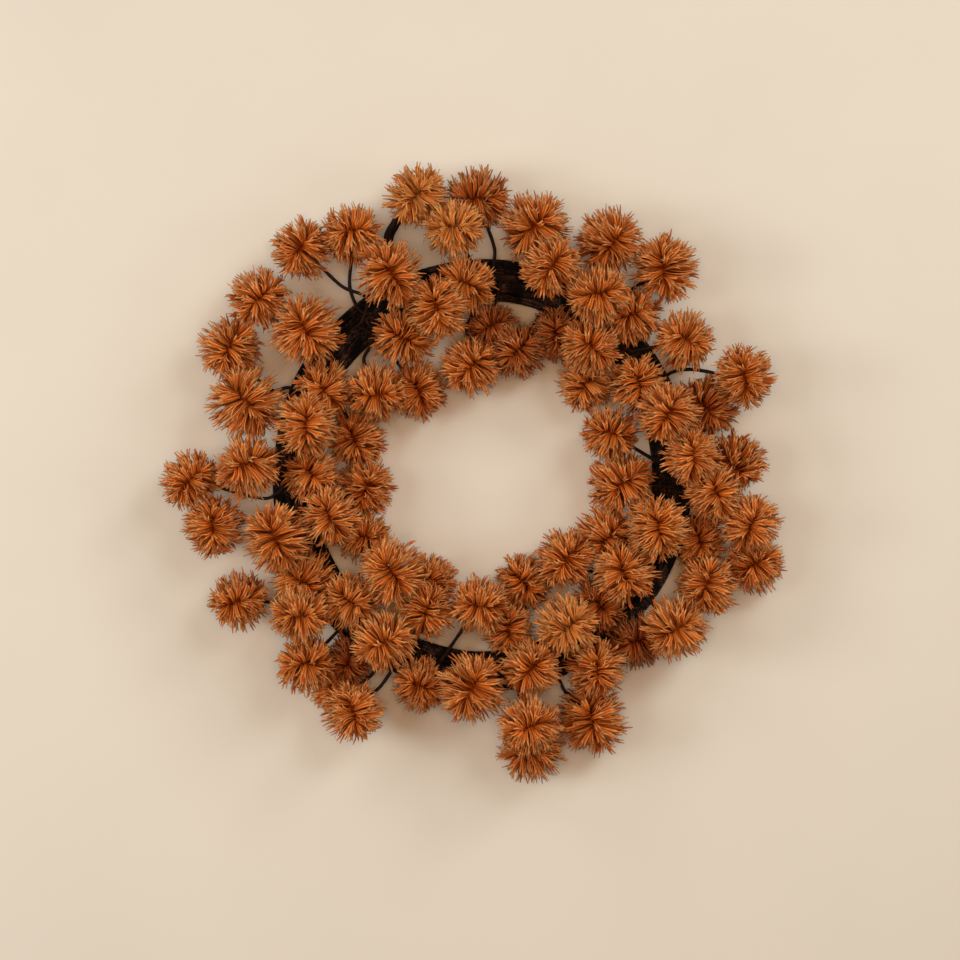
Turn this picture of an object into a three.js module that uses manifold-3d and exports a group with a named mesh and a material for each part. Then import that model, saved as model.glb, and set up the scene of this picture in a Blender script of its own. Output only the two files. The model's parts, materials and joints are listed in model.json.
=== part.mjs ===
// Chestnut seed candle ring.
// Balls of spiny seed heads stand on wired stems. The stems spring in picks from a flat ring of
// bundled twigs, and the heads leave a clear hole in the middle for a candle.
// Millimetres, +Z up, resting on z = 0.

import * as THREE from 'three';
import { ConvexHull } from 'three/addons/math/ConvexHull.js';
import { mergeVertices } from 'three/addons/utils/BufferGeometryUtils.js';
import Module from 'manifold-3d';

const wasm = await Module();
wasm.setup();

// Ring of bundled twigs. It is not quite round, and its own middle lies off the middle that the
// heads are placed from.
const RING_RADIUS = 96;
const RING_X = 2.1;
const RING_Y = -7.2;
const RING_SHARE_X = 0.984;
const RING_SHARE_Y = 1.016;
const RING_HALF_WIDTH = 10.4;
const RING_HEIGHT = 12.5;
const RING_STEPS = 45;
const RING_SIDES = 12;
const TWIG_GROOVE = 0.12;
const TWIG_BOW = 0.52;
const BOWS_AROUND = 7;
const BOW_TWIST = 3;
const UNDERSIDE_BELOW = -0.8;
const FACE_DEPTH = 0.1;

// Wired stems, and the taped foot that lies along the top of the ring
const STEM_RADIUS = 1.1;
const STEM_SIDES = 4;
const STEM_STEPS = 2;
const STEM_EASE = 1 / 3;
const STEM_LIFT = 2.5;
const STEM_LIFT_SHARE = 1 / 6;
const STEM_DROOP = 0.8;
const DROOP_FROM = 17;
const FOOT_RADIUS = 1.7;
const FOOT_SIDES = 5;
const FOOT_HALF_LENGTH = 7.5;
const STEM_SPACING = 2.6;
const FOOT_SLIDES = 8;
const SEAT_GAP = 0.3;

// Seed heads: a small core whose every face is drawn out into one three-sided spine
const CORE_SHARE = 0.48;
const CORE_POINTS = 28;
const SMALL_CORE_POINTS = 26;
const SMALL_HEAD = 15;
const CORE_JITTER = 0.22;
const FIRST_SEED = 101;
const SPINE_SHORTEST = 0.92;
const SPINE_LONGEST = 1.03;
const SPINE_LEAN = 0.3;
const SPINE_STEP = 0.6;
const SPINE_STUB = 1.2;
const LINK_WAIST = 1.1;
const LINK_ROOT = 0.15;

// Clearances
const CELL_GAP = 0.3;
const BEAD_GAP = 0.3;
const BEAD_STEP = 1.5;
const RING_GAP = 0.6;
const FLOOR_GAP = 0.8;
const SPINE_HALF_WIDTH = 1.2;
const SPINE_SAMPLES = 8;
const MERGE_WITHIN = 0.0001;
const TIDY_WITHIN = 0.02;

const FULL_TURN = 2 * Math.PI;
const random = THREE.MathUtils.seededRandom;
const GOLDEN_ANGLE = Math.PI * (3 - Math.sqrt(5));
const FOOT_HEIGHT = RING_HEIGHT + SEAT_GAP + FOOT_RADIUS;

const head = (x, y, z, radius, ...via) => ({
  centre: new THREE.Vector3(x, y, z),
  radius,
  via: via.map((place) => new THREE.Vector3(...place)),
});

// Each pick is tied to the ring at an angle anticlockwise from +X. Its heads are in bunches of
// neighbours that hold together.
const PICKS = [
  {
    tie: 354,
    bunches: [
      [head(103.5, 2.5, 42, 14.5), head(115, -16, 33, 14.5), head(127.5, 0, 21, 14.5)],
      [head(65, 13.5, 29, 14), head(70.5, -11, 24, 16.5)],
    ],
  },
  {
    tie: 22,
    bunches: [
      [head(91.5, 23, 46, 15.5), head(78.5, 38, 27, 14.5)],
      [head(129.5, 41, 31, 15, [94, 43, 15], [105, 45.4, 17]), head(113, 27, 18, 16)],
    ],
  },
  {
    tie: 38,
    bunches: [
      [head(55, 55.5, 35, 15), head(53.5, 38.5, 15.5, 14.5)],
      [head(75.5, 71.5, 25, 14.5), head(101, 59, 27, 15)],
    ],
  },
  {
    tie: 54,
    bunches: [
      [head(58, 80.5, 42, 15.5), head(64, 107.5, 27, 16.5), head(91.5, 94.5, 27, 17)],
    ],
  },
  {
    tie: 66,
    bunches: [
      [head(35.5, 94, 43, 15), head(27.5, 114.5, 27, 17.5)],
      [head(20, 54.5, 21, 14, [32.5, 76, 14.5]), head(38.5, 62.5, 14.5, 13.5)],
    ],
  },
  {
    tie: 86,
    bunches: [
      [head(-11.5, 113, 39, 14.5), head(0, 129, 21, 16, [8.3, 102, 15.5], [7.2, 108.5, 17])],
      [head(-6, 86.5, 30, 14.5), head(6.5, 66.5, 14.5, 13), head(-3.5, 47, 21, 15, [-5, 68, 17])],
    ],
  },
  {
    tie: 113,
    bunches: [
      [head(-30, 129.5, 27, 15.5, [-44, 107, 15], [-41, 117, 18])],
      [head(-42.5, 90, 48, 16.5), head(-20, 74, 45, 15.5)],
    ],
  },
  {
    tie: 128.5,
    bunches: [
      [
        head(-61.5, 111, 29, 15, [-58.5, 74.5, 14.8], [-63.4, 86, 15.5]),
        head(-86.5, 104, 26, 15, [-55, 80.5, 15], [-66.9, 86.2, 16.5]),
      ],
      [
        head(-36.5, 60, 27, 15.5),
        head(-29.5, 35, 15.5, 14.5),
        head(-49.5, 33, 29, 14.5, [-51.5, 61, 16], [-56.5, 50.5, 16]),
      ],
    ],
  },
  {
    tie: 146,
    bunches: [
      [head(-83.5, 64, 39, 18), head(-107.5, 79.5, 27, 15)],
      [head(-75.5, 35, 24, 15), head(-59.5, 11, 16, 14.5)],
    ],
  },
  {
    tie: 161,
    bunches: [
      [
        head(-84, 17.5, 42, 16),
        head(-113.5, 29, 31, 18.5, [-92, 36, 15], [-99, 35, 16]),
        head(-121.5, 55.5, 22.5, 15.5, [-97, 33.5, 14.5], [-105, 37, 11.5], [-114, 45, 12]),
      ],
    ],
  },
  {
    tie: 185,
    bunches: [
      [
        head(-112, -3.5, 39, 16),
        head(-140.5, -9.5, 26.5, 14.5, [-101.3, -17.2, 15], [-109, -18, 16]),
      ],
      [head(-81.5, -7, 27, 14), head(-71.5, -27, 39, 15)],
    ],
  },
  {
    tie: 199,
    bunches: [
      [head(-98, -37.5, 39, 17.5), head(-129.5, -32, 25, 15)],
      [head(-55, -13, 16, 14), head(-56, -37, 16, 13)],
    ],
  },
  {
    tie: 218.5,
    bunches: [
      [head(-117.5, -68.5, 24, 14.5, [-88, -70, 14.5], [-98, -70, 17])],
      [head(-86, -75, 42, 14.5), head(-85.5, -59, 21.5, 16.5)],
    ],
  },
  {
    tie: 230,
    bunches: [
      [head(-62, -68.5, 35, 14.5), head(-41.5, -54, 44, 16.5)],
      [head(-84, -99.5, 30, 14.5), head(-62.5, -97, 19, 13)],
    ],
  },
  {
    tie: 248,
    bunches: [
      [head(-45.5, -87.5, 41, 15.5), head(-25, -73, 32, 14.5), head(-23.5, -59, 14.5, 13)],
      [
        head(-61, -122.5, 30, 15, [-40.5, -100, 15], [-48, -111, 17]),
        head(-72, -113.5, 12.5, 11, [-54, -107, 14.5]),
      ],
    ],
  },
  {
    tie: 258.5,
    bunches: [
      [head(-3, -110, 36, 17.5), head(-28.5, -110, 18, 13.5)],
      [head(1, -70.5, 34, 14.5)],
    ],
  },
  {
    tie: 281,
    bunches: [
      [head(26, -100.5, 38, 14.5), head(25, -128.5, 41, 15), head(26.5, -142, 18, 16.5)],
      [head(15, -82, 20.5, 13), head(22.5, -59.5, 16, 14)],
    ],
  },
  {
    tie: 292,
    bunches: [
      [
        head(43.5, -80, 39, 15),
        head(58, -101, 28, 15),
        head(56.5, -127.5, 19, 17.5, [38.5, -104, 15], [42.5, -113, 15.5]),
      ],
    ],
  },
  {
    tie: 320,
    bunches: [
      [head(59.5, -71, 20.5, 13.5), head(78, -89, 16, 14), head(96.5, -81.5, 35, 16)],
      [head(43, -48, 27, 15), head(62.5, -36, 16, 14.5)],
    ],
  },
  {
    tie: 331,
    bunches: [
      [head(72, -54.5, 36, 15.5), head(87, -32.5, 42, 16)],
      [head(112, -61, 26, 16, [101.5, -46.5, 14.5])],
    ],
  },
  {
    tie: 343,
    bunches: [
      [
        head(133.5, -31, 29, 15),
        head(137, -50.5, 15.5, 14.5, [110, -54.5, 14.5]),
        head(109.5, -39.5, 14.5, 13.5),
      ],
    ],
  },
];

const twigs = new THREE.MeshStandardMaterial({ color: 0x2e1f17, roughness: 0.75 });
const wires = new THREE.MeshStandardMaterial({ color: 0x3a261b, roughness: 0.7 });
const seeds = new THREE.MeshStandardMaterial({ color: 0xa85e2c, roughness: 0.8 });
for (const material of [twigs, wires, seeds]) {
  material.flatShading = true;
}

// A solid for joining, from any closed geometry
function solidFrom(geometry) {
  const bare = geometry.clone();
  bare.deleteAttribute('normal');
  bare.deleteAttribute('uv');
  const merged = mergeVertices(bare, MERGE_WITHIN);
  return new wasm.Manifold(new wasm.Mesh({
    numProp: 3,
    vertProperties: new Float32Array(merged.attributes.position.array),
    triVerts: new Uint32Array(merged.index.array),
  }));
}

function geometryFrom(solid) {
  const { vertProperties, triVerts } = solid.getMesh();
  const geometry = new THREE.BufferGeometry();
  geometry.setAttribute('position', new THREE.BufferAttribute(vertProperties, 3));
  geometry.setIndex(new THREE.BufferAttribute(triVerts, 1));
  geometry.computeVertexNormals();
  return geometry;
}

// Ring bundle
// The section has a twig's ridge on every other corner, and its lowest corners lie flat on z = 0.
function ringGeometry() {
  const profile = [];
  for (let k = 0; k <= RING_SIDES; k += 1) {
    const corner = k % RING_SIDES;
    const turn = FULL_TURN * (corner + 1) / RING_SIDES;
    const depth = corner % 2 === 0 ? 1 : 1 - TWIG_GROOVE;
    const lowest = Math.sin(turn) < UNDERSIDE_BELOW;
    const out = RING_RADIUS + RING_HALF_WIDTH * depth * Math.cos(turn);
    const up = lowest ? 0 : RING_HEIGHT / 2 * (1 + depth * Math.sin(turn));
    profile.push(new THREE.Vector2(out, up));
  }
  const geometry = new THREE.LatheGeometry(profile, RING_STEPS);
  geometry.rotateX(Math.PI / 2);
  wander(geometry);
  geometry.scale(RING_SHARE_X, RING_SHARE_Y, 1);
  geometry.translate(RING_X, RING_Y, 0);
  return geometry;
}

// Twigs bow in and out a little as they go round, except on the flat underside and the top
function wander(geometry) {
  const place = new THREE.Vector3();
  const positions = geometry.attributes.position;
  for (let k = 0; k < positions.count; k += 1) {
    place.fromBufferAttribute(positions, k);
    const angle = Math.atan2(place.y, place.x);
    const out = Math.hypot(place.x, place.y) - RING_RADIUS;
    const side = Math.sign(out) * Math.min(1, Math.abs(out) / RING_HALF_WIDTH);
    const free = place.z > FACE_DEPTH && place.z < RING_HEIGHT - FACE_DEPTH;
    const wave = Math.sin(BOWS_AROUND * angle + BOW_TWIST * place.z);
    const bow = free ? TWIG_BOW * side * wave : 0;
    const scale = (RING_RADIUS + out + bow) / (RING_RADIUS + out);
    positions.setXYZ(k, place.x * scale, place.y * scale, place.z);
  }
}

// How far a place lies outside the ring's middle line
function fromRing(place) {
  const x = (place.x - RING_X) / RING_SHARE_X;
  const y = (place.y - RING_Y) / RING_SHARE_Y;
  return Math.hypot(x, y) - RING_RADIUS;
}

// Core of a head: jittered points spread over a ball, with the triangles of their hull
function growCore(one) {
  random(one.seed);
  const count = one.radius < SMALL_HEAD ? SMALL_CORE_POINTS : CORE_POINTS;
  const points = [];
  for (let k = 0; k < count; k += 1) {
    const height = 1 - (2 * k + 1) / count;
    const girth = Math.sqrt(1 - height * height);
    const turn = k * GOLDEN_ANGLE;
    const point = new THREE.Vector3(girth * Math.cos(turn), girth * Math.sin(turn), height);
    point.x += CORE_JITTER * (random() - 0.5);
    point.y += CORE_JITTER * (random() - 0.5);
    point.z += CORE_JITTER * (random() - 0.5);
    points.push(point.setLength(one.radius * CORE_SHARE));
  }
  const hull = new ConvexHull().setFromPoints(points);
  one.corners = points;
  one.faces = hull.faces.map((face) => {
    const at = [];
    let edge = face.edge;
    do {
      at.push(points.indexOf(edge.head().point));
      edge = edge.next;
    } while (edge !== face.edge);
    return { at, role: 'spine' };
  });
}

const cornersOf = (one, face) => face.at.map((corner) => one.corners[corner]);

function middleOf(places) {
  const middle = new THREE.Vector3();
  for (const place of places) {
    middle.addScaledVector(place, 1 / places.length);
  }
  return middle;
}

// Centre and radius of the circle inside a triangle
function inscribed([a, b, c]) {
  const sides = [b.distanceTo(c), c.distanceTo(a), a.distanceTo(b)];
  const around = sides[0] + sides[1] + sides[2];
  const centre = new THREE.Vector3();
  [a, b, c].forEach((corner, k) => centre.addScaledVector(corner, sides[k] / around));
  const area = new THREE.Triangle(a, b, c).getArea();
  return { centre, radius: 2 * area / around };
}

// The roomiest face takes the stem: the core is turned until it faces the way the stem comes in
function turnToStem(one) {
  let roomiest = null;
  for (const face of one.faces) {
    const circle = inscribed(cornersOf(one, face));
    if (!roomiest || circle.radius > roomiest.circle.radius) {
      roomiest = { face, circle };
    }
  }
  roomiest.face.role = 'stem';
  const seat = roomiest.circle.centre;
  const turn = new THREE.Quaternion().setFromUnitVectors(seat.clone().normalize(), one.entry);
  for (const corner of one.corners) {
    corner.applyQuaternion(turn).add(one.centre);
  }
  one.seatDistance = seat.length();
}

// The taped foot of a pick slides out at the pick's angle until it lies along the top of the ring.
// Its stems spring from it side by side, in the order in which their heads stand round the ring.
function layFoot(pick) {
  const angle = THREE.MathUtils.degToRad(pick.tie);
  const middle = new THREE.Vector3(Math.cos(angle), Math.sin(angle), 0);
  for (let k = 0; k < FOOT_SLIDES; k += 1) {
    middle.setLength(middle.length() - fromRing(middle));
  }
  const along = new THREE.Vector3(RING_Y - middle.y, middle.x - RING_X, 0).normalize();
  middle.z = FOOT_HEIGHT;
  const onFoot = (distance) => middle.clone().addScaledVector(along, distance);
  const members = pick.bunches.flat();
  const inTurn = [...members].sort((a, b) => a.centre.dot(along) - b.centre.dot(along));
  inTurn.forEach((one, k) => {
    one.start = onFoot(STEM_SPACING * (k - (inTurn.length - 1) / 2));
  });
  pick.foot = [onFoot(-FOOT_HALF_LENGTH), onFoot(FOOT_HALF_LENGTH)];
}

// Direction from a head's middle towards its incoming stem. High heads take it from below, low
// ones from the side, and it never starts lower than the foot.
function entryOf(one) {
  const from = one.via.length > 0 ? one.via[one.via.length - 1] : one.start;
  const entry = from.clone().sub(one.centre);
  entry.z -= STEM_DROOP * Math.max(0, one.centre.z - DROOP_FROM);
  entry.normalize();
  const lowest = (FOOT_HEIGHT - one.centre.z) / (one.radius * SPINE_LONGEST);
  if (entry.z < lowest) {
    const level = Math.sqrt(1 - lowest * lowest) / Math.hypot(entry.x, entry.y);
    entry.set(entry.x * level, entry.y * level, lowest);
  }
  return entry;
}

// Course of a stem: through the head's via points or in an easy curve off the ring, then straight
// in to the head's core
function courseOf(one) {
  const edge = one.centre.clone().addScaledVector(one.entry, one.radius * SPINE_LONGEST);
  const end = one.centre.clone().addScaledVector(one.entry, one.seatDistance + SEAT_GAP);
  if (one.via.length > 0) {
    return [one.start, ...one.via, edge, end];
  }
  const span = one.start.distanceTo(edge);
  const rise = one.start.clone().lerp(edge, STEM_EASE);
  rise.z += Math.min(STEM_LIFT, STEM_LIFT_SHARE * span);
  const bend = edge.clone().addScaledVector(one.entry, STEM_EASE * span);
  bend.z = Math.max(bend.z, FOOT_HEIGHT);
  const curve = new THREE.CubicBezierCurve3(one.start, rise, bend, edge);
  return [...curve.getPoints(STEM_STEPS), end];
}

// A path of straight stretches, with one step to each of its points
class Course extends THREE.Curve {
  constructor(points) {
    super();
    this.points = points;
  }

  getPoint(t, target = new THREE.Vector3()) {
    const place = t * (this.points.length - 1);
    const stretch = Math.min(Math.floor(place), this.points.length - 2);
    return target.lerpVectors(this.points[stretch], this.points[stretch + 1], place - stretch);
  }

  getUtoTmapping(u) {
    return u;
  }
}

function tube(points, radius, sides) {
  const section = new THREE.Shape();
  for (let k = 0; k < sides; k += 1) {
    const turn = FULL_TURN * k / sides;
    const draw = k === 0 ? 'moveTo' : 'lineTo';
    section[draw](radius * Math.cos(turn), radius * Math.sin(turn));
  }
  return new THREE.ExtrudeGeometry(section, {
    steps: points.length - 1,
    extrudePath: new Course(points),
  });
}

// One pick's stems, joined at the foot
function stemsGeometry(pick) {
  let solid = solidFrom(tube(pick.foot, FOOT_RADIUS, FOOT_SIDES));
  for (const one of pick.bunches.flat()) {
    solid = solid.add(solidFrom(tube(one.course, STEM_RADIUS, STEM_SIDES)));
  }
  return geometryFrom(solid.simplify(TIDY_WITHIN));
}

// Balls strung along a path, which the spines keep clear of
function beadsAlong(points, radius, own) {
  const beads = [];
  for (let k = 0; k + 1 < points.length; k += 1) {
    const count = Math.ceil(points[k].distanceTo(points[k + 1]) / BEAD_STEP);
    for (let n = 0; n < count; n += 1) {
      const place = points[k].clone().lerp(points[k + 1], n / count);
      beads.push({ place, radius, own });
    }
  }
  return beads;
}

function nearestOf(one, others) {
  return others.reduce((best, other) => {
    const nearer = other.centre.distanceTo(one.centre) < best.centre.distanceTo(one.centre);
    return nearer ? other : best;
  });
}

// The free face of a core that looks most nearly at a place
function faceTowards(one, place) {
  const wanted = place.clone().sub(one.centre).normalize();
  let best = null;
  for (const face of one.faces) {
    const look = middleOf(cornersOf(one, face)).sub(one.centre).normalize().dot(wanted);
    if (face.role === 'spine' && (!best || look > best.look)) {
      best = { face, look };
    }
  }
  best.face.role = 'link';
  return best.face;
}

// Spines grown into each other hold two heads of a bunch together: the two faces that look at each
// other are joined by a waisted stem.
function linkOf(one, other) {
  const near = faceTowards(one, other.centre);
  const far = faceTowards(other, one.centre);
  const nearMiddle = middleOf(cornersOf(one, near));
  const farMiddle = middleOf(cornersOf(other, far));
  const reversed = [...far.at].reverse();
  const turned = [0, 1, 2].map((shift) => [0, 1, 2].map((k) => reversed[(k + shift) % 3]));
  const apart = (order) => order.reduce((sum, corner, k) => {
    const offset = one.corners[near.at[k]].clone().sub(nearMiddle);
    return sum + offset.distanceTo(other.corners[corner].clone().sub(farMiddle));
  }, 0);
  const order = turned.reduce((best, next) => (apart(next) < apart(best) ? next : best));
  const middle = nearMiddle.clone().lerp(farMiddle, 0.5);
  const waist = order.map((corner, k) => {
    const out = one.corners[near.at[k]].clone().sub(nearMiddle);
    out.add(other.corners[corner]).sub(farMiddle);
    return middle.clone().addScaledVector(out.normalize(), LINK_WAIST);
  });
  const inner = nearMiddle.clone().lerp(farMiddle, LINK_ROOT);
  const outer = nearMiddle.clone().lerp(farMiddle, 1 - LINK_ROOT);
  return { one, other, near: near.at, order, waist, beads: beadsAlong([inner, outer], LINK_WAIST) };
}

// How far a spine may reach before it leaves its head's own share of the space
function shareOf(one, direction) {
  let reach = Infinity;
  for (const other of heads) {
    const between = other.centre.clone().sub(one.centre);
    const apart = between.length();
    if (other === one || apart > one.radius + other.radius + CELL_GAP) {
      continue;
    }
    const wall = (apart ** 2 + one.radius ** 2 - other.radius ** 2) / (2 * apart) - CELL_GAP / 2;
    const towards = direction.dot(between) / apart;
    if (towards > 0) {
      reach = Math.min(reach, wall / towards);
    }
  }
  if (direction.z < 0) {
    reach = Math.min(reach, (one.centre.z - FLOOR_GAP) / -direction.z);
  }
  return reach;
}

function meetsRing(root, tip) {
  for (let k = 0; k <= SPINE_SAMPLES; k += 1) {
    const t = k / SPINE_SAMPLES;
    const place = root.clone().lerp(tip, t);
    const room = RING_GAP + SPINE_HALF_WIDTH * (1 - t);
    const out = fromRing(place) / (RING_HALF_WIDTH + room);
    const up = (place.z - RING_HEIGHT / 2) / (RING_HEIGHT / 2 + room);
    if (out ** 2 + up ** 2 < 1) {
      return true;
    }
  }
  return false;
}

// A ball is clear of a spine where it lies well outside one of the spine's four sides
function meetsBead([a, b, c], tip, beads) {
  const sides = [[a, b, tip], [b, c, tip], [c, a, tip], [a, c, b]];
  const planes = sides.map((side) => new THREE.Plane().setFromCoplanarPoints(...side));
  return beads.some(({ place, radius }) => {
    const outside = Math.max(...planes.map((plane) => plane.distanceToPoint(place)));
    return outside < radius + BEAD_GAP;
  });
}

// Tip of the spine on a face, drawn in until it is clear, or null where the face stays flat
function tipOf(one, face, beads) {
  const corners = cornersOf(one, face);
  const root = middleOf(corners);
  const aim = new THREE.Vector3();
  for (const corner of corners) {
    aim.addScaledVector(corner.clone().sub(one.centre), 1 + SPINE_LEAN * (random() - 0.5));
  }
  aim.normalize();
  const wish = THREE.MathUtils.lerp(SPINE_SHORTEST, SPINE_LONGEST, random());
  let reach = Math.min(one.radius * wish, shareOf(one, aim));
  while (reach > one.radius * CORE_SHARE + SPINE_STUB) {
    const tip = one.centre.clone().addScaledVector(aim, reach);
    if (!meetsRing(root, tip) && !meetsBead(corners, tip, beads)) {
      return tip;
    }
    reach -= SPINE_STEP;
  }
  return null;
}

// One bunch of heads as a single closed body
function bunchGeometry(bunch, links) {
  const places = [];
  const index = [];
  const first = new Map();
  for (const one of bunch) {
    first.set(one, places.length);
    places.push(...one.corners);
  }
  for (const one of bunch) {
    random(one.seed);
    const start = first.get(one);
    const near = allBeads.filter(({ place, radius, own }) => (
      own !== one && place.distanceTo(one.centre) < one.radius * SPINE_LONGEST + radius));
    const linked = links.filter((link) => link.one === one || link.other === one);
    const beads = [...near, ...linked.flatMap((link) => link.beads)];
    for (const face of one.faces) {
      const at = face.at.map((corner) => start + corner);
      const tip = face.role === 'spine' ? tipOf(one, face, beads) : null;
      if (tip) {
        const last = places.push(tip) - 1;
        index.push(at[0], at[1], last, at[1], at[2], last, at[2], at[0], last);
      } else if (face.role !== 'link') {
        index.push(...at);
      }
    }
  }
  for (const link of links) {
    const near = link.near.map((corner) => first.get(link.one) + corner);
    const far = link.order.map((corner) => first.get(link.other) + corner);
    const waist = link.waist.map((place) => places.push(place) - 1);
    for (let k = 0; k < 3; k += 1) {
      const next = (k + 1) % 3;
      index.push(near[k], near[next], waist[next], near[k], waist[next], waist[k]);
      index.push(waist[k], waist[next], far[next], waist[k], far[next], far[k]);
    }
  }
  const geometry = new THREE.BufferGeometry().setFromPoints(places);
  geometry.setIndex(index);
  geometry.computeVertexNormals();
  return geometry;
}

// Lay everything out before any spine is drawn, because spines give way to stems and links
const heads = PICKS.flatMap((pick) => pick.bunches.flat());
for (const pick of PICKS) {
  layFoot(pick);
  for (const one of pick.bunches.flat()) {
    one.seed = FIRST_SEED + heads.indexOf(one);
    one.entry = entryOf(one);
    growCore(one);
    turnToStem(one);
    one.course = courseOf(one);
  }
}
const footBeads = PICKS.flatMap((pick) => beadsAlong(pick.foot, FOOT_RADIUS));
const stemBeads = heads.flatMap((one) => {
  const bend = one.course.length - 2;
  return [
    ...beadsAlong(one.course.slice(0, bend + 1), STEM_RADIUS),
    ...beadsAlong(one.course.slice(bend), STEM_RADIUS, one),
  ];
});
const allBeads = [...footBeads, ...stemBeads];

const wreath = new THREE.Group();

function addPiece(name, geometry, material) {
  const mesh = new THREE.Mesh(geometry, material);
  mesh.name = name;
  wreath.add(mesh);
}

addPiece('ring_bundle', geometryFrom(solidFrom(ringGeometry())), twigs);
PICKS.forEach((pick, k) => {
  const number = String(k + 1).padStart(2, '0');
  addPiece(`stems_${number}`, stemsGeometry(pick), wires);
  pick.bunches.forEach((bunch, n) => {
    const links = bunch.slice(1).map((one, place) => (
      linkOf(one, nearestOf(one, bunch.slice(0, place + 1)))));
    addPiece(`heads_${number}${'ab'[n]}`, bunchGeometry(bunch, links), seeds);
  });
});

// The origin is on the table, under the middle of the whole object
const middle = new THREE.Box3().setFromObject(wreath).getCenter(new THREE.Vector3());
wreath.position.set(-middle.x, -middle.y, 0);

export default wreath;
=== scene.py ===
"""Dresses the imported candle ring: seed heads of split spines, taped stems and a ring of twigs."""

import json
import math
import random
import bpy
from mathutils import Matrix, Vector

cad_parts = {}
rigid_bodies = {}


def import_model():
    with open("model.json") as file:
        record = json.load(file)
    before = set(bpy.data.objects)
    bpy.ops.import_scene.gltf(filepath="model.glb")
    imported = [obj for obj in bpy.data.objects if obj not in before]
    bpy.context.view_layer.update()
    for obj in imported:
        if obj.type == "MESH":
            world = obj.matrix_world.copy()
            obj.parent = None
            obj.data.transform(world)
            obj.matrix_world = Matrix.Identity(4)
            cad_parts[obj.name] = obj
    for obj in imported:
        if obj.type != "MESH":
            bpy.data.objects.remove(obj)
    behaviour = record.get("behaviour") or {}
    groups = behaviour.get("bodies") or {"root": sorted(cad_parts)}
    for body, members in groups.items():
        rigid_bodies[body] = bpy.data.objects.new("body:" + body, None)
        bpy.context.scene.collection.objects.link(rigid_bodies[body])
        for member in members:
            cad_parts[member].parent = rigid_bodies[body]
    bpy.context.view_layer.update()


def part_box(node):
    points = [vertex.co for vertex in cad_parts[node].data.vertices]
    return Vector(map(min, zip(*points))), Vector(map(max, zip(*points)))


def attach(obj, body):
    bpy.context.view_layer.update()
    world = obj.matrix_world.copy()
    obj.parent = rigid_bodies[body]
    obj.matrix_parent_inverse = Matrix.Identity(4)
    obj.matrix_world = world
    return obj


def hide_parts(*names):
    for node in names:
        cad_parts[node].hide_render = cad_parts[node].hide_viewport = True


bl_info = {
    "name": "Chestnut Seed Candle Ring",
    "version": (1, 0, 0),
    "blender": (4, 5, 0),
    "location": "3D View > Sidebar > Candle Ring",
    "description": "Spiny seed heads on taped stems, tied to a flat ring of bundled twigs",
    "category": "Add Mesh",
}

from collections import namedtuple
from functools import partial

import bmesh
import bpy
from bpy.props import FloatProperty, FloatVectorProperty, IntProperty, PointerProperty
from mathutils import Matrix, Vector
from mathutils.geometry import interpolate_bezier

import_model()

MM = 0.001

# Heads stand where the CAD has them, in millimetres from the layout's middle. The slit is the
# parting across the top of a head, in degrees anticlockwise from +X. Tone runs from -1, dark and
# red, to 1, light and yellow; on the low heads half hidden under others, the darkest tones are
# partly painted shade. The lean is how far the parting lies off the top, as a share of the
# radius. A stem passes through its via points on the way to its head.
Head = namedtuple("Head", "x y z radius slit tone lean via thick", defaults=((0, 0), (), False))

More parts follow.
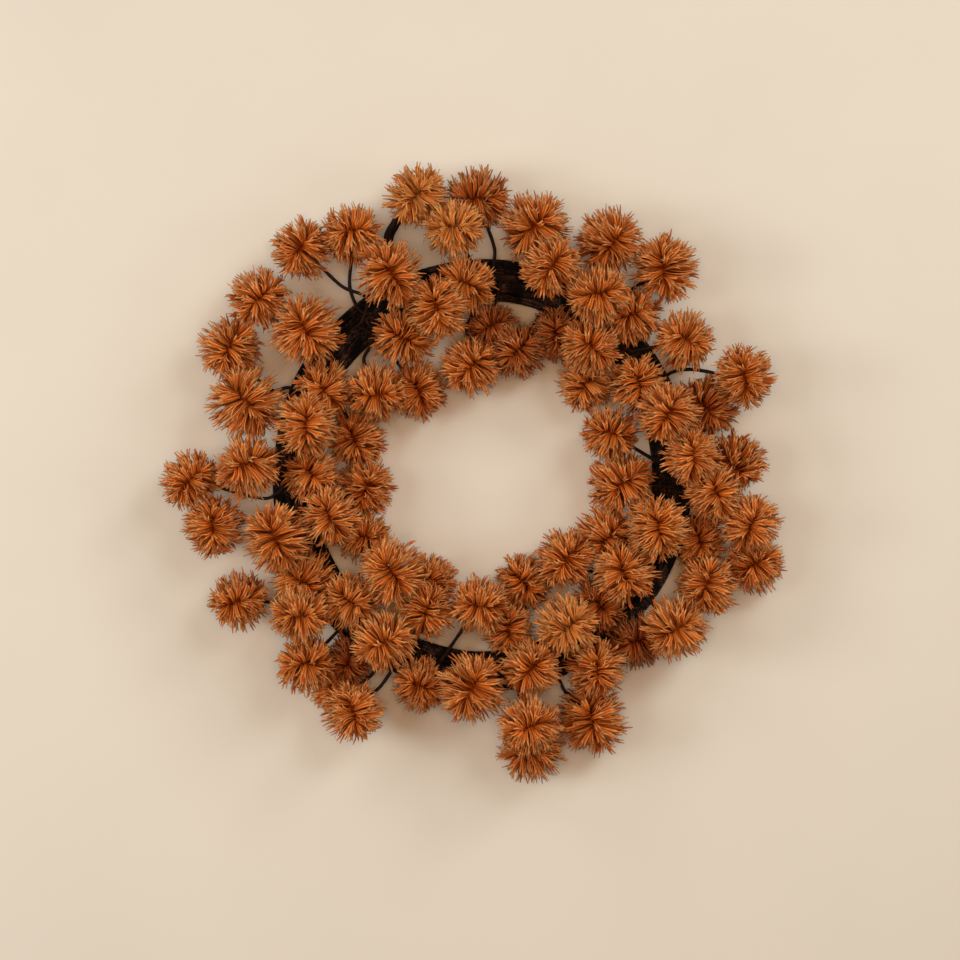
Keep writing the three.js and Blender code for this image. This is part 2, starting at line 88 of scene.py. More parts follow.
# Each pick has the angle of its tie on the ring, in degrees anticlockwise from +X, and its bunches
PICKS = (
    (354,
     [Head(103.5, 2.5, 42, 14.5, 90, 0.05),
      Head(115, -16, 33, 14.5, -70, 0.1, lean=(0.05, 0.1)),
      Head(127.5, 0, 21, 14.5, -43, -0.25, lean=(-0.14, -0.36))],
     [Head(65, 13.5, 29, 14, -18, 0),
      Head(70.5, -11, 24, 16.5, 36, -0.15, lean=(0.05, 0))]),
    (22,
     [Head(91.5, 23, 46, 15.5, 62, -0.15),
      Head(78.5, 38, 27, 14.5, -73, -0.08)],
     [Head(129.5, 41, 31, 15, -83, -0.1, via=((94, 43, 15), (105, 45.4, 17))),
      Head(113, 27, 18, 16, -43, -0.4, lean=(-0.13, -0.05))]),
    (38,
     [Head(55, 55.5, 35, 15, -34, -0.25),
      Head(53.5, 38.5, 15.5, 14.5, 60, 0.25)],
     [Head(75.5, 71.5, 25, 14.5, 25, -0.15, lean=(-0.08, 0)),
      Head(101, 59, 27, 15, -26, 0.17)]),
    (54,
     [Head(58, 80.5, 42, 15.5, 8, 0),
      Head(64, 107.5, 27, 16.5, 48, -0.2, lean=(0.15, -0.09)),
      Head(91.5, 94.5, 27, 17, -85, 0, lean=(-0.1, -0.13))]),
    (66,
     [Head(35.5, 94, 43, 15, 55, 0.05, lean=(0.09, 0.05)),
      Head(27.5, 114.5, 27, 17.5, 42, -0.1)],
     [Head(20, 54.5, 21, 14, 45, -0.6, via=((32.5, 76, 14.5),)),
      Head(38.5, 62.5, 14.5, 13.5, -81, -0.65)]),
    (86,
     [Head(-11.5, 113, 39, 14.5, 0, 0.5, lean=(-0.03, 0)),
      Head(0, 129, 21, 16, 0, -0.45, lean=(-0.12, -0.06), via=((8.3, 102, 15.5), (7.2, 108.5, 17)))],
     [Head(-6, 86.5, 30, 14.5, -25, 0.2),
      Head(6.5, 66.5, 14.5, 13, 20, -0.6),
      Head(-3.5, 47, 21, 15, 45, 0.1, lean=(0.1, 0), via=((-5, 68, 17),))]),
    (113,
     [Head(-30, 129.5, 27, 15.5, 45, 0.5, via=((-44, 107, 15), (-41, 117, 18)), thick=True)],
     [Head(-42.5, 90, 48, 16.5, -58, -0.1, lean=(0.08, 0)),
      Head(-20, 74, 45, 15.5, -75, 0.1)]),
    (128.5,
     [Head(-61.5, 111, 29, 15, 5, 0.1, lean=(0.05, 0.1),
           via=((-58.5, 74.5, 14.8), (-63.4, 86, 15.5))),
      Head(-86.5, 104, 26, 15, 51, -0.08, via=((-55, 80.5, 15), (-66.9, 86.2, 16.5)))],
     [Head(-36.5, 60, 27, 15.5, -30, 0.15),
      Head(-29.5, 35, 15.5, 14.5, -66, -0.17),
      Head(-49.5, 33, 29, 14.5, 0, -0.05, lean=(0, -0.07), via=((-51.5, 61, 16), (-56.5, 50.5, 16)))]),
    (146,
     [Head(-83.5, 64, 39, 18, -60, -0.05),
      Head(-107.5, 79.5, 27, 15, 45, -0.05, lean=(0.12, 0))],
     [Head(-75.5, 35, 24, 15, -50, 0, lean=(0.02, -0.06)),
      Head(-59.5, 11, 16, 14.5, -58, 0.1, lean=(-0.15, 0))]),
    (161,
     [Head(-84, 17.5, 42, 16, 88, 0.05, lean=(0.1, 0)),
      Head(-113.5, 29, 31, 18.5, -48, 0.2, lean=(0.03, 0.05), via=((-92, 36, 15), (-99, 35, 16))),
      Head(-121.5, 55.5, 22.5, 15.5, 62, 0.1,
           via=((-97, 33.5, 14.5), (-105, 37, 11.5), (-114, 45, 12)))]),
    (185,
     [Head(-112, -3.5, 39, 16, 25, 0.1, lean=(-0.05, 0.17)),
      Head(-140.5, -9.5, 26.5, 14.5, 42, -0.15, via=((-101.3, -17.2, 15), (-109, -18, 16)))],
     [Head(-81.5, -7, 27, 14, -40, -0.2, lean=(0, 0.08)),
      Head(-71.5, -27, 39, 15, -63, 0.17)]),
    (199,
     [Head(-98, -37.5, 39, 17.5, -65, 0),
      Head(-129.5, -32, 25, 15, 90, -0.05)],
     [Head(-55, -13, 16, 14, 70, -0.08),
      Head(-56, -37, 16, 13, -16, -0.17)]),
    (218.5,
     [Head(-117.5, -68.5, 24, 14.5, 15, -0.1, lean=(-0.08, -0.05),
           via=((-88, -70, 14.5), (-98, -70, 17)))],
     [Head(-86, -75, 42, 14.5, 0, 0.25),
      Head(-85.5, -59, 21.5, 16.5, -32, 0.17)]),
    (230,
     [Head(-62, -68.5, 35, 14.5, -38, 0.25),
      Head(-41.5, -54, 44, 16.5, -56, 0.08)],
     [Head(-84, -99.5, 30, 14.5, 3, 0, lean=(0.03, 0.09)),
      Head(-62.5, -97, 19, 13, 60, -0.7, lean=(-0.1, -0.2))]),
    (248,
     [Head(-45.5, -87.5, 41, 15.5, 30, 0.17),
      Head(-25, -73, 32, 14.5, 77, -0.17),
      Head(-23.5, -59, 14.5, 13, -48, -0.08)],
     [Head(-61, -122.5, 30, 15, -75, 0.05, lean=(0.06, 0.04),
           via=((-40.5, -100, 15), (-48, -111, 17))),
      Head(-72, -113.5, 12.5, 11, -79, -0.08, via=((-54, -107, 14.5),))]),
    (258.5,
     [Head(-3, -110, 36, 17.5, 56, 0.1),
      Head(-28.5, -110, 18, 13.5, -17, -0.08)],
     [Head(1, -70.5, 34, 14.5, -10, 0.05)]),
    (281,
     [Head(26, -100.5, 38, 14.5, 43, 0.1),
      Head(25, -128.5, 41, 15, 15, 0.08),
      Head(26.5, -142, 18, 16.5, 22, -0.25)],
     [Head(15, -82, 20.5, 13, 95, -0.25),
      Head(22.5, -59.5, 16, 14, -48, -0.15)]),
    (292,
     [Head(43.5, -80, 39, 15, 35, 0.5, lean=(0.08, 0.03)),
      Head(58, -101, 28, 15, -88, 0, lean=(0.03, -0.06)),
      Head(56.5, -127.5, 19, 17.5, -80, 0.05, lean=(-0.07, 0.07),
           via=((38.5, -104, 15), (42.5, -113, 15.5)))]),
    (320,
     [Head(59.5, -71, 20.5, 13.5, -45, -0.5),
      Head(78, -89, 16, 14, 20, -0.8, lean=(0, 0.05)),
      Head(96.5, -81.5, 35, 16, 30, 0.25, lean=(-0.03, 0))],
     [Head(43, -48, 27, 15, 50, 0.05),
      Head(62.5, -36, 16, 14.5, 50, -0.05, lean=(0.12, -0.19))]),
    (331,
     [Head(72, -54.5, 36, 15.5, -68, 0.1, lean=(-0.15, 0.06)),
      Head(87, -32.5, 42, 16, 100, 0)],
     [Head(112, -61, 26, 16, 75, -0.05, lean=(-0.05, 0.13), via=((101.5, -46.5, 14.5),))]),
    (343,
     [Head(133.5, -31, 29, 15, 68, 0.15, lean=(-0.06, -0.05)),
      Head(137, -50.5, 15.5, 14.5, 36, 0, lean=(-0.1, 0), via=((110, -54.5, 14.5),)),
      Head(109.5, -39.5, 14.5, 13.5, -70, 0.15, lean=(-0.05, 0.05))]),
)

# Shapes that the CAD gives, in millimetres. The ring is not quite round. Its own middle and the
# middle of its box lie off the layout's middle, by different distances.
RING_RADIUS = 96
RING_X = 2.1
RING_Y = -7.2
RING_SHARE_X = 0.984
RING_SHARE_Y = 1.016
RING_BOX_X = 2.142
RING_BOX_Y = -7.42
RING_HALF_WIDTH = 10.4
RING_HEIGHT = 12.5
SEAT_GAP = 0.3
FOOT_RADIUS = 1.7
FOOT_HALF_LENGTH = 7.5
FOOT_HEIGHT = RING_HEIGHT + SEAT_GAP + FOOT_RADIUS
FOOT_SLIDES = 8
STEM_SPACING = 2.6
STEM_EASE = 1 / 3
STEM_LIFT = 2.5
STEM_LIFT_SHARE = 1 / 6
STEM_DROOP = 0.8
DROOP_FROM = 17
SPINE_LONGEST = 1.03

ring_low, ring_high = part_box("ring_bundle")
LAYOUT_MIDDLE = Vector((
    (ring_low.x + ring_high.x) / 2 - RING_BOX_X * MM,
    (ring_low.y + ring_high.y) / 2 - RING_BOX_Y * MM, 0))

# Kinds of spine: where along it a spine forks, how far its tips stand to each side of its middle
# in millimetres, and how much shorter its second prong is
SPINE_KINDS = (
    (0.6, 1.1, 0), (0.5, 1.5, 0.12), (0.66, 0.9, 0.05),
    (0.45, 1.7, 0.16), (0.74, 0.65, 0.03), (0.56, 1.25, 0.2),
)

# Corners of a spine's section and of a prong's: to the side and to the back in half widths, and how
# much of a ridge each is. The shaft's widths, as shares of the spine's, at its root, halfway to the
# fork and at the fork.
SPINE_SECTION = ((-1, -0.8, 1), (0, 0.35, 0), (1, -0.8, 1), (0, -0.35, 0))
PRONG_SECTION = ((1, -1.3, 1), (-0.1, 0.5, 0.3), (-1, -0.9, 0.8))
SHAFT_WIDTHS = (0.55, 0.85, 1.05)

# A prong in widths of the spine: how far aside it starts and how far forward it is halfway, its
# half widths there and at the tip, and the share of its spread that it has reached halfway
PRONG_START = 0.27
PRONG_FORWARD = 0.1
PRONG_HALF_WIDTH = 0.25
TIP_HALF_WIDTH = 0.1
PRONG_SPREAD = 0.4

# A head of radius 1: how high over its middle the spines part in full, how fast their roots climb
# with them, how far the roots stray, and its core. A spine spins by up to SPIN radians. LEAST_DROP
# is the least fall for which the way to the table is worked out.
PARTED_FROM = 0.6
ROOT_CLIMB = 1.6
ROOT_STRAY = 0.3
CORE_SHARE = 0.22
SPIN = 1.1
LEAST_DROP = 0.001

# Shares by which the thickness of spines and twigs varies
THINNEST = 0.8
THICKEST = 1.15

# Ramps over a spine: the attribute, its value at both ends, and the ramp's value there. Channel
# and shaft bring in painted shade, the deep colour in the groove and towards the root; lit and
# outer bring in a painted highlight, the edge colour on the ridges and towards the tips.
SPINE_RAMPS = {
    "channel": ("ridge", 0, 0.45, 0, 1),
    "shaft": ("along", 0, 0.5, 0.2, 1),
    "lit": ("ridge", 0.45, 0.95, 0, 0.85),
    "outer": ("along", 0, 0.5, 0.25, 1),
    "warmed": ("tone", 0, 1, 0, 0.5),
    # Low tones redden a head and darken it; on the low, half hidden heads this is partly painted
    # shade.
    "reddened_and_shaded": ("tone", 0, -1, 0, 0.7),
    "shine": ("along", 0.3, 0.9, 0, 0.2),
    "level": ("shade", 0, 1, 0.8, 1.15),
}

# Layers of colour: each ramp brings in its second colour over its first. Deep is painted shade
# and edge a painted highlight.
SPINE_LAYERS = (
    ("channel", "deep", "body"), ("shaft", "deep", "channel"), ("lit", "shaft", "edge"),
    ("outer", "shaft", "lit"), ("warmed", "outer", "warm"), ("reddened_and_shaded", "warmed", "red"),
)

# Mottle and grain of the plastic, worn patches of tape and bark, and clouds of tone on the cloth
MOTTLE_SIZE = 2.5 * MM
GRAIN_SIZE = 0.5 * MM
PATCH_SIZE = 9 * MM
CLOUDS_PER_METRE = 9

# Stretch of a stem that is tied along the ring: millimetres back from its start, and down
TIED = ((9.0, 4.5), (6.0, 3.2), (3.0, 1.8), (1.2, 0.7))

# How near to its head's middle a stem ends, as a share of the radius, and the points of its curves
STEM_END = 0.15
STEM_STEPS = 20
VIA_STEPS = 12

# How far the foot of a pick is sunk among the twigs and its half thickness, in millimetres, the
# share of the thickness that it loses at its ends, and its steps
FOOT_SUNK = 2.4
FOOT_THICKNESS = 1.2
FOOT_TAPER = 0.35
FOOT_STEPS = 16

# The thick twist of wires: the length in which it winds through one radian, and how far out its
# strands lie and how thick they are, as shares of its radius
TWIST_PITCH = 14 * MM
TWIST_STRANDS = 4
TWIST_OUT = 0.55
TWIST_THICKNESS = 0.5

# Twigs: points round the ring, the phases and the sizes of their slow and quick wander in radians,
# how far they dip inwards, and how many of its radii a twig keeps its middle above the table.
# Thicker twigs fill the bundle's middle.
TWIG_STEPS = 120
LAST_PHASE = 6.3
SLOW_WANDER = 0.3
QUICK_WANDER = 0.12
TWIG_DIP = 0.06
TWIG_CLEARANCE = 1.12
CORE_TWIGS = 7
CORE_TWIG_RADIUS = 2.3 * MM
CORE_TWIG_SHARE = 0.62

GOLDEN_ANGLE = math.pi * (3 - math.sqrt(5))

# Lamps: azimuth anticlockwise from +X and height over the floor in degrees, power in watts, colour
LAMP_DISTANCE = 1.5
LAMP_SIZE = 0.45
COOL = (0.83, 0.915, 1)
LAMPS = (
    ("above", 0, 90, 8.8, (1, 0.618, 0.382)),
    ("right", 0, 35, 3.8, COOL),
    ("right_back", 45, 35, 5.2, COOL),
    ("right_back_high", 45, 58, 5.9, COOL),
    ("left_back", 135, 35, 2.8, COOL),
    ("left", 180, 35, 7.8, COOL),
    ("left_high", 180, 58, 4.5, COOL),
    ("front", 255, 35, 1.1, COOL),
)

# The photograph's middle lies this many of its pixels right of and below the layout's middle
PIXEL = 0.488 * MM
VIEW_RIGHT = 2
VIEW_BELOW = 19

# The height at which the picture is as wide as the view, and half the floor's side in metres
HEAD_LEVEL = 35 * MM
FLOOR_HALF_SIZE = 2.5

# Kinds of node that are used often
MATHS = "ShaderNodeMath"
VECTORS = "ShaderNodeVectorMath"
CHANCE = "FunctionNodeRandomValue"
NOISE = "ShaderNodeTexNoise"
MIX = "ShaderNodeMix"
STORE = "GeometryNodeStoreNamedAttribute"
STORED = "GeometryNodeInputNamedAttribute"


def linear(colour):
    """An sRGB hex colour as linear red, green and blue."""
    shares = [int(colour[k:k + 2], 16) / 255 for k in (0, 2, 4)]
    return [s / 12.92 if s <= 0.04045 else ((s + 0.055) / 1.055) ** 2.4 for s in shares]


# Kinds of setting that are used often
Length = partial(FloatProperty, unit="LENGTH", subtype="DISTANCE")
Colour = partial(FloatVectorProperty, size=3, subtype="COLOR")


class SeedHeadSettings(bpy.types.PropertyGroup):
    """Sizes and colours of the seed heads."""

    spines: IntProperty(
        name="Spines", description="Spines grown on one head", default=185, min=40, max=400)
    spine_width: Length(
        name="Spine Width", description="Width across a spine's channel, edge to edge",
        default=1.88 * MM)
    spine_arch: Length(
        name="Spine Arch", description="How far a spine bows up towards the parting",
        default=1.3 * MM)
    parting: FloatProperty(
        name="Parting", description="How far the spines at the top lean away from the parting",
        default=0.1, min=0, max=1, subtype="FACTOR")
    seed: IntProperty(name="Seed", description="Start of the random spread", default=7)
    # The deep colour is painted shade, at the roots of the spines and down their channels.
    deep: Colour(
        name="Deep Colour", description="Colour at the roots of the spines",
        default=linear("983802"))
    body: Colour(
        name="Body Colour", description="Colour of most of a spine", default=linear("c65e12"))
    # The edge colour is a painted highlight on the thin edges and tips.
    edge: Colour(
        name="Edge Colour", description="Colour of a spine's thin edges and tip",
        default=linear("dc9856"))


class StemSettings(bpy.types.PropertyGroup):
    """Sizes and colour of the wired stems."""

    radius: Length(
        name="Stem Radius", description="Half the thickness of a taped stem", default=0.88 * MM)
    twist_radius: Length(
        name="Twist Radius", description="Half the thickness of the thick twist of wires",
        default=2.4 * MM)
    colour: Colour(
        name="Tape Colour", description="Colour of the paper tape round the wires",
        default=linear("20110a"))


class RingSettings(bpy.types.PropertyGroup):
    """Sizes and colour of the ring of bundled twigs."""

    strands: IntProperty(
        name="Strands", description="Twigs that lie side by side round the ring's section",
        default=40, min=8, max=60)
    strand_radius: Length(
        name="Strand Radius", description="Half the thickness of one twig", default=0.95 * MM)
    seed: IntProperty(name="Seed", description="Start of the random wander", default=11)
    colour: Colour(
        name="Bark Colour", description="Colour of the twigs", default=linear("070302"))


class StageSettings(bpy.types.PropertyGroup):
    """Floor, light and camera."""

    floor: Colour(
        name="Floor Colour", description="Colour of the plain floor", default=linear("d9ceb9"))
    camera_height: Length(
        name="Camera Height", description="Height of the camera above the table", default=1.5)
    view_width: Length(
        name="View Width", description="Width that the picture shows at the height of the heads",
        default=468.5 * MM)


class CandleRingSettings(bpy.types.PropertyGroup):
    """All settings of the candle ring."""

    heads: PointerProperty(type=SeedHeadSettings)
    stems: PointerProperty(type=StemSettings)
    ring: PointerProperty(type=RingSettings)
    stage: PointerProperty(type=StageSettings)


def settings_of(context):
    """The add-on's settings on the scene."""
    return context.scene.candle_ring


def add_node(tree, kind, sockets=(), out=None, **settings):
    """Add a node with its settings, and set its sockets or link them.

    Sockets go by name, or in order where they are a tuple. Gives the output that is named, or else
    the first one in use.
    """
    node = tree.nodes.new(kind)
    for name, value in settings.items():
        setattr(node, name, value)
    named = dict(enumerate(sockets)) if isinstance(sockets, tuple) else sockets
    for key, value in named.items():
        if isinstance(value, bpy.types.NodeSocket):
            tree.links.new(value, node.inputs[key])
        else:
            node.inputs[key].default_value = value
    if out:
        return node.outputs[out]
    return next((socket for socket in node.outputs if socket.enabled), None)


def new_tree(name, inputs):
    """A geometry tree with named inputs. Gives the tree and the sockets that its inputs come from."""
    tree = bpy.data.node_groups.new(name, "GeometryNodeTree")
    tree.interface.new_socket("Geometry", in_out="OUTPUT", socket_type="NodeSocketGeometry")
    for label, kind in {"Geometry": "Geometry", **inputs, "Material": "Material"}.items():
        tree.interface.new_socket(label, in_out="INPUT", socket_type=f"NodeSocket{kind}")
    return tree, tree.nodes.new("NodeGroupInput").outputs


def end_tree(tree, shapes, given):
    """End a tree in real meshes with the given material."""
    whole = add_node(tree, "GeometryNodeRealizeInstances", (shapes,))
    dressed = add_node(tree, "GeometryNodeSetMaterial", {
        "Geometry": whole, "Material": given["Material"]})
    add_node(tree, "NodeGroupOutput", (dressed,))


def grow(name, tree, values, source, kept):
    """Run a tree on a mesh and give the result as an object with a plain mesh."""
    piece = bpy.data.objects.new(name, source)
    bpy.context.scene.collection.objects.link(piece)
    modifier = piece.modifiers.new(tree.name, "NODES")
    modifier.node_group = tree
    for item in tree.interface.items_tree:
        if item.in_out == "INPUT" and item.name in values:
            modifier[item.identifier] = values[item.name]
    depsgraph = bpy.context.evaluated_depsgraph_get()
    mesh = bpy.data.meshes.new_from_object(piece.evaluated_get(depsgraph))
    piece.modifiers.remove(modifier)
    piece.data = mesh
    mesh.name = name
    bpy.data.meshes.remove(source)
    spare = [a.name for a in mesh.attributes if not a.is_internal and not a.is_required
             and a.name not in kept and a.name != "material_index"]
    for attribute in spare:
        mesh.attributes.remove(mesh.attributes[attribute])
    if not mesh.polygons:
        raise RuntimeError(f"{name} came out empty")
    return piece


def new_material(name, roughness):
    """A new material, its tree, and the inputs of its shader."""
    material = bpy.data.materials.new(name)
    material.use_nodes = True
    tree = material.node_tree
    shader = tree.nodes["Principled BSDF"].inputs
    shader["Roughness"].default_value = roughness
    return material, tree, shader


def in_frame(x, y, z):
    """A place given in millimetres from the layout's middle, in the frame's metres."""
    return LAYOUT_MIDDLE + Vector((x, y, z)) * MM


# Seed heads


def spine_mesh(name, fork, spread, short, width, arch):
    """A closed spine of unit length along +Z with a channel down its front.

    It is split in two prongs from fork onwards. Their blunt ends stand spread to each side of the
    middle, and the second one ends short.
    """
    mesh = bmesh.new()
    ridge = mesh.verts.layers.float.new("ridge")
    along = mesh.verts.layers.float.new("along")

    def section(corners, z, half, side=1, aside=0, forward=0):
        bow = -arch * 4 * z * (1 - z)
        row = []
        for across, behind, on_ridge in corners:
            vertex = mesh.verts.new((
                side * (aside + across * half), behind * half - forward + bow, z))
            vertex[ridge] = on_ridge
            vertex[along] = z
            row.append(vertex)
        return row

    def skin(below, above):
        for k in range(len(below)):
            n = (k + 1) % len(below)
            mesh.faces.new((below[k], below[n], above[n], above[k]))

    rows = [section(SPINE_SECTION, fork * k / 2, width * share / 2)
            for k, share in enumerate(SHAFT_WIDTHS)]
    mesh.faces.new(rows[0])
    for below, above in zip(rows, rows[1:]):
        skin(below, above)
    left, keel, right, channel = rows[-1]
    start = PRONG_START * width
    for side, outer, end in ((-1, left, 1), (1, right, 1 - short)):
        halfway = section(
            PRONG_SECTION, fork + 0.5 * (end - fork), PRONG_HALF_WIDTH * width, side,
            start + PRONG_SPREAD * (spread - start), PRONG_FORWARD * width)
        tip = section(PRONG_SECTION, end, TIP_HALF_WIDTH * width, side, spread)
        skin([outer, keel, channel], halfway)
        skin(halfway, tip)
        mesh.faces.new(tip)
    bmesh.ops.recalc_face_normals(mesh, faces=mesh.faces)
    result = bpy.data.meshes.new(name)
    mesh.to_mesh(result)
    mesh.free()
    return result


def spine_collection(settings):
    """The kinds of spine that the heads are grown from."""
    shelf = bpy.data.collections.new("spine_kinds")
    for k, (fork, spread, short) in enumerate(SPINE_KINDS):
        mesh = spine_mesh(
            f"spine_{k}", fork, spread * MM, short, settings.spine_width, settings.spine_arch)
        shelf.objects.link(bpy.data.objects.new(mesh.name, mesh))
    return shelf


def head_tree():
    """Grows spines over a ball at every point of a mesh.

    The spines are spread evenly over the ball, part on both sides of a slit across its top, and
    arch outwards from it. Spines that would reach the table are cut short.
    """
    tree, given = new_tree("Seed Heads", {
        "Spines": "Int", "Parting": "Float", "Shortest": "Float", "Longest": "Float",
        "Root": "Float", "Root Rise": "Float", "Root Spread": "Float", "Bare Top": "Float",
        "Jitter": "Float", "Table Gap": "Float", "Seed": "Int", "Spine Kinds": "Collection",
        "Kind Count": "Int"})
    add = partial(add_node, tree)
    seeds = [add(MATHS, (given["Seed"], k), operation="ADD") for k in range(6)]

    # Directions spread evenly over a ball by the golden angle
    index = add("GeometryNodeInputIndex")
    middle = add(MATHS, (index, 0.5), operation="ADD")
    share = add(MATHS, (middle, given["Spines"]), operation="DIVIDE")
    level = add(MATHS, (share, -2, 1), operation="MULTIPLY_ADD")
    covered = add(MATHS, (1, given["Bare Top"]), operation="SUBTRACT")
    height = add(MATHS, (level, covered), operation="MULTIPLY")
    squared = add(MATHS, (height, height), operation="MULTIPLY")
    left_over = add(MATHS, (1, squared), operation="SUBTRACT")
    girth = add(MATHS, (left_over,), operation="SQRT")
    turn = add(MATHS, (index, GOLDEN_ANGLE), operation="MULTIPLY")
    cosine = add(MATHS, (turn,), operation="COSINE")
    sine = add(MATHS, (turn,), operation="SINE")
    x = add(MATHS, (girth, cosine), operation="MULTIPLY")
    y = add(MATHS, (girth, sine), operation="MULTIPLY")
    direction = add("ShaderNodeCombineXYZ", (x, y, height))
    ball = add("GeometryNodePoints", {"Count": given["Spines"], "Position": direction})

    # One ball of directions for each head, each of them strayed a little
    balls = add("GeometryNodeInstanceOnPoints", {
        "Points": given["Geometry"], "Instance": ball,
        "Rotation": add(STORED, ("turn",), data_type="QUATERNION")})
    scattered = add("GeometryNodeRealizeInstances", (balls,))
    centre = add(STORED, ("centre",), data_type="FLOAT_VECTOR")
    radius = add(STORED, ("head_radius",))
    backwards = add(MATHS, (given["Jitter"], -1), operation="MULTIPLY")
    stray = add(CHANCE, {"Min": backwards, "Max": given["Jitter"], "Seed": seeds[0]},
                data_type="FLOAT_VECTOR")
    place = add("GeometryNodeInputPosition")
    outwards = add(VECTORS, (place, centre), operation="SUBTRACT")
    strayed = add(VECTORS, (outwards, stray), operation="ADD")

    # Spines on the upper half lean away from the slit on both sides of it
    pole = add(STORED, ("pole",), data_type="FLOAT_VECTOR")
    slit = add(STORED, ("slit",), data_type="FLOAT_VECTOR")
    across = add(VECTORS, (pole, slit), operation="CROSS_PRODUCT")
    near_top = add("ShaderNodeMapRange", {
        "Value": add(VECTORS, (strayed, pole), operation="DOT_PRODUCT"),
        "From Min": 0, "From Max": PARTED_FROM}, interpolation_type="SMOOTHSTEP")
    lean = add(MATHS, (near_top, given["Parting"]), operation="MULTIPLY")
    beside = add(VECTORS, (strayed, across), operation="DOT_PRODUCT")
    side = add(MATHS, (beside,), operation="SIGN")
    sideways = add(MATHS, (side, lean), operation="MULTIPLY")
    parted = add(VECTORS, {"Vector": across, "Scale": sideways}, operation="SCALE")
    leaning = add(VECTORS, (strayed, parted), operation="ADD")
    aimed = add(STORE, {
        "Geometry": scattered, "Name": "aim",
        "Value": add(VECTORS, (leaning,), operation="NORMALIZE")}, data_type="FLOAT_VECTOR")

    # Tips, cut short above the table
    aim = add(STORED, ("aim",), data_type="FLOAT_VECTOR")
    down = add(MATHS, (add("ShaderNodeSeparateXYZ", (aim,), out="Z"), -1), operation="MULTIPLY")
    above = add(MATHS, (add("ShaderNodeSeparateXYZ", (centre,), out="Z"), given["Table Gap"]),
                operation="SUBTRACT")
    drop = add(MATHS, (down, LEAST_DROP), operation="MAXIMUM")
    to_table = add(MATHS, (above, drop), operation="DIVIDE")
    wish = add(CHANCE, {"Min": given["Shortest"], "Max": given["Longest"], "Seed": seeds[1]})
    length = add(MATHS, (wish, radius), operation="MULTIPLY")
    reach = add(MATHS, (length, to_table), operation="MINIMUM")
    tip = add(VECTORS, {"Vector": aim, "Scale": reach}, operation="SCALE")

    # Roots stand in a row under the slit, high for the spines at the top and low for the bottom
    rise = add(VECTORS, (aim, pole), operation="DOT_PRODUCT")
    climb = add(MATHS, (rise, ROOT_CLIMB), operation="MULTIPLY")
    storey = add("ShaderNodeClamp", (climb, -1, 1))
    raised = add(MATHS, (storey, given["Root Rise"]), operation="MULTIPLY")
    lift = add(MATHS, (raised, radius), operation="MULTIPLY")
    spread = add(MATHS, (add(VECTORS, (aim, slit), operation="DOT_PRODUCT"), given["Root Spread"]),
                 operation="MULTIPLY")
    aside = add(MATHS, (spread, radius), operation="MULTIPLY")
    stub = add(MATHS, (given["Root"], radius), operation="MULTIPLY")
    base = add(VECTORS, (
        stray, add(MATHS, (ROOT_STRAY, radius), operation="MULTIPLY"),
        add(VECTORS, {"Vector": aim, "Scale": stub}, operation="SCALE")),
        operation="MULTIPLY_ADD")
    lifted = add(VECTORS, {"Vector": pole, "Scale": lift}, operation="SCALE")
    shifted = add(VECTORS, {"Vector": slit, "Scale": aside}, operation="SCALE")
    moved = add(VECTORS, (lifted, shifted), operation="ADD")
    root = add(VECTORS, (base, moved), operation="ADD")
    spanned = add(STORE, {
        "Geometry": aimed, "Name": "run",
        "Value": add(VECTORS, (tip, root), operation="SUBTRACT")}, data_type="FLOAT_VECTOR")
    rooted = add("GeometryNodeSetPosition", {
        "Geometry": spanned, "Position": add(VECTORS, (centre, root), operation="ADD")})

    # Each spine's back faces away from the top, with a little spin
    upper = add(MATHS, (rise,), operation="SIGN")
    near_pole = add(VECTORS, {"Vector": pole, "Scale": upper}, operation="SCALE")
    tilt = add(MATHS, (rise,), operation="ABSOLUTE")
    tilted = add(VECTORS, {"Vector": aim, "Scale": tilt}, operation="SCALE")
    outward = add(VECTORS, (tilted, near_pole), operation="SUBTRACT")
    run = add(STORED, ("run",), data_type="FLOAT_VECTOR")
    pointed = add("FunctionNodeAlignRotationToVector", {"Vector": run}, axis="Z")
    faced = add("FunctionNodeAlignRotationToVector", {"Rotation": pointed, "Vector": outward},
                axis="Y", pivot_axis="Z")
    spin = add(CHANCE, {"Min": -SPIN, "Max": SPIN, "Seed": seeds[2]})
    spun = add("FunctionNodeRotateRotation", (
        faced, add("FunctionNodeAxisAngleToRotation", {"Axis": (0, 0, 1), "Angle": spin})),
        rotation_space="LOCAL")
    thickness = add(CHANCE, {"Min": THINNEST, "Max": THICKEST, "Seed": seeds[3]})
    last = add(MATHS, (given["Kind Count"], 1), operation="SUBTRACT")
    kinds = add("GeometryNodeCollectionInfo", {
        "Collection": given["Spine Kinds"], "Separate Children": True, "Reset Children": True})
    spines = add("GeometryNodeInstanceOnPoints", {
        "Points": rooted,
        "Instance": kinds,
        "Pick Instance": True,
        "Instance Index": add(CHANCE, {"Min": 0, "Max": last, "Seed": seeds[4]}, data_type="INT"),
        "Rotation": spun,
        "Scale": add("ShaderNodeCombineXYZ", (
            thickness, thickness, add(VECTORS, (run,), operation="LENGTH"))),
    })
    shaded = add(STORE, {
        "Geometry": spines, "Name": "shade",
        "Value": add(CHANCE, {"Min": 0, "Max": 1, "Seed": seeds[5]})}, domain="INSTANCE")

    # A small core closes each head's middle. It has no ridge or along of its own, so it takes the
    # deep colour, painted shade, all over.
    cores = add("GeometryNodeInstanceOnPoints", {
        "Points": given["Geometry"],
        "Instance": add("GeometryNodeMeshIcoSphere", {"Radius": 1, "Subdivisions": 2}),
        "Scale": add(MATHS, (CORE_SHARE, radius), operation="MULTIPLY")})
    both = add("GeometryNodeJoinGeometry", (cores,))
    tree.links.new(shaded, both.node.inputs[0])
    end_tree(tree, both, given)
    return tree


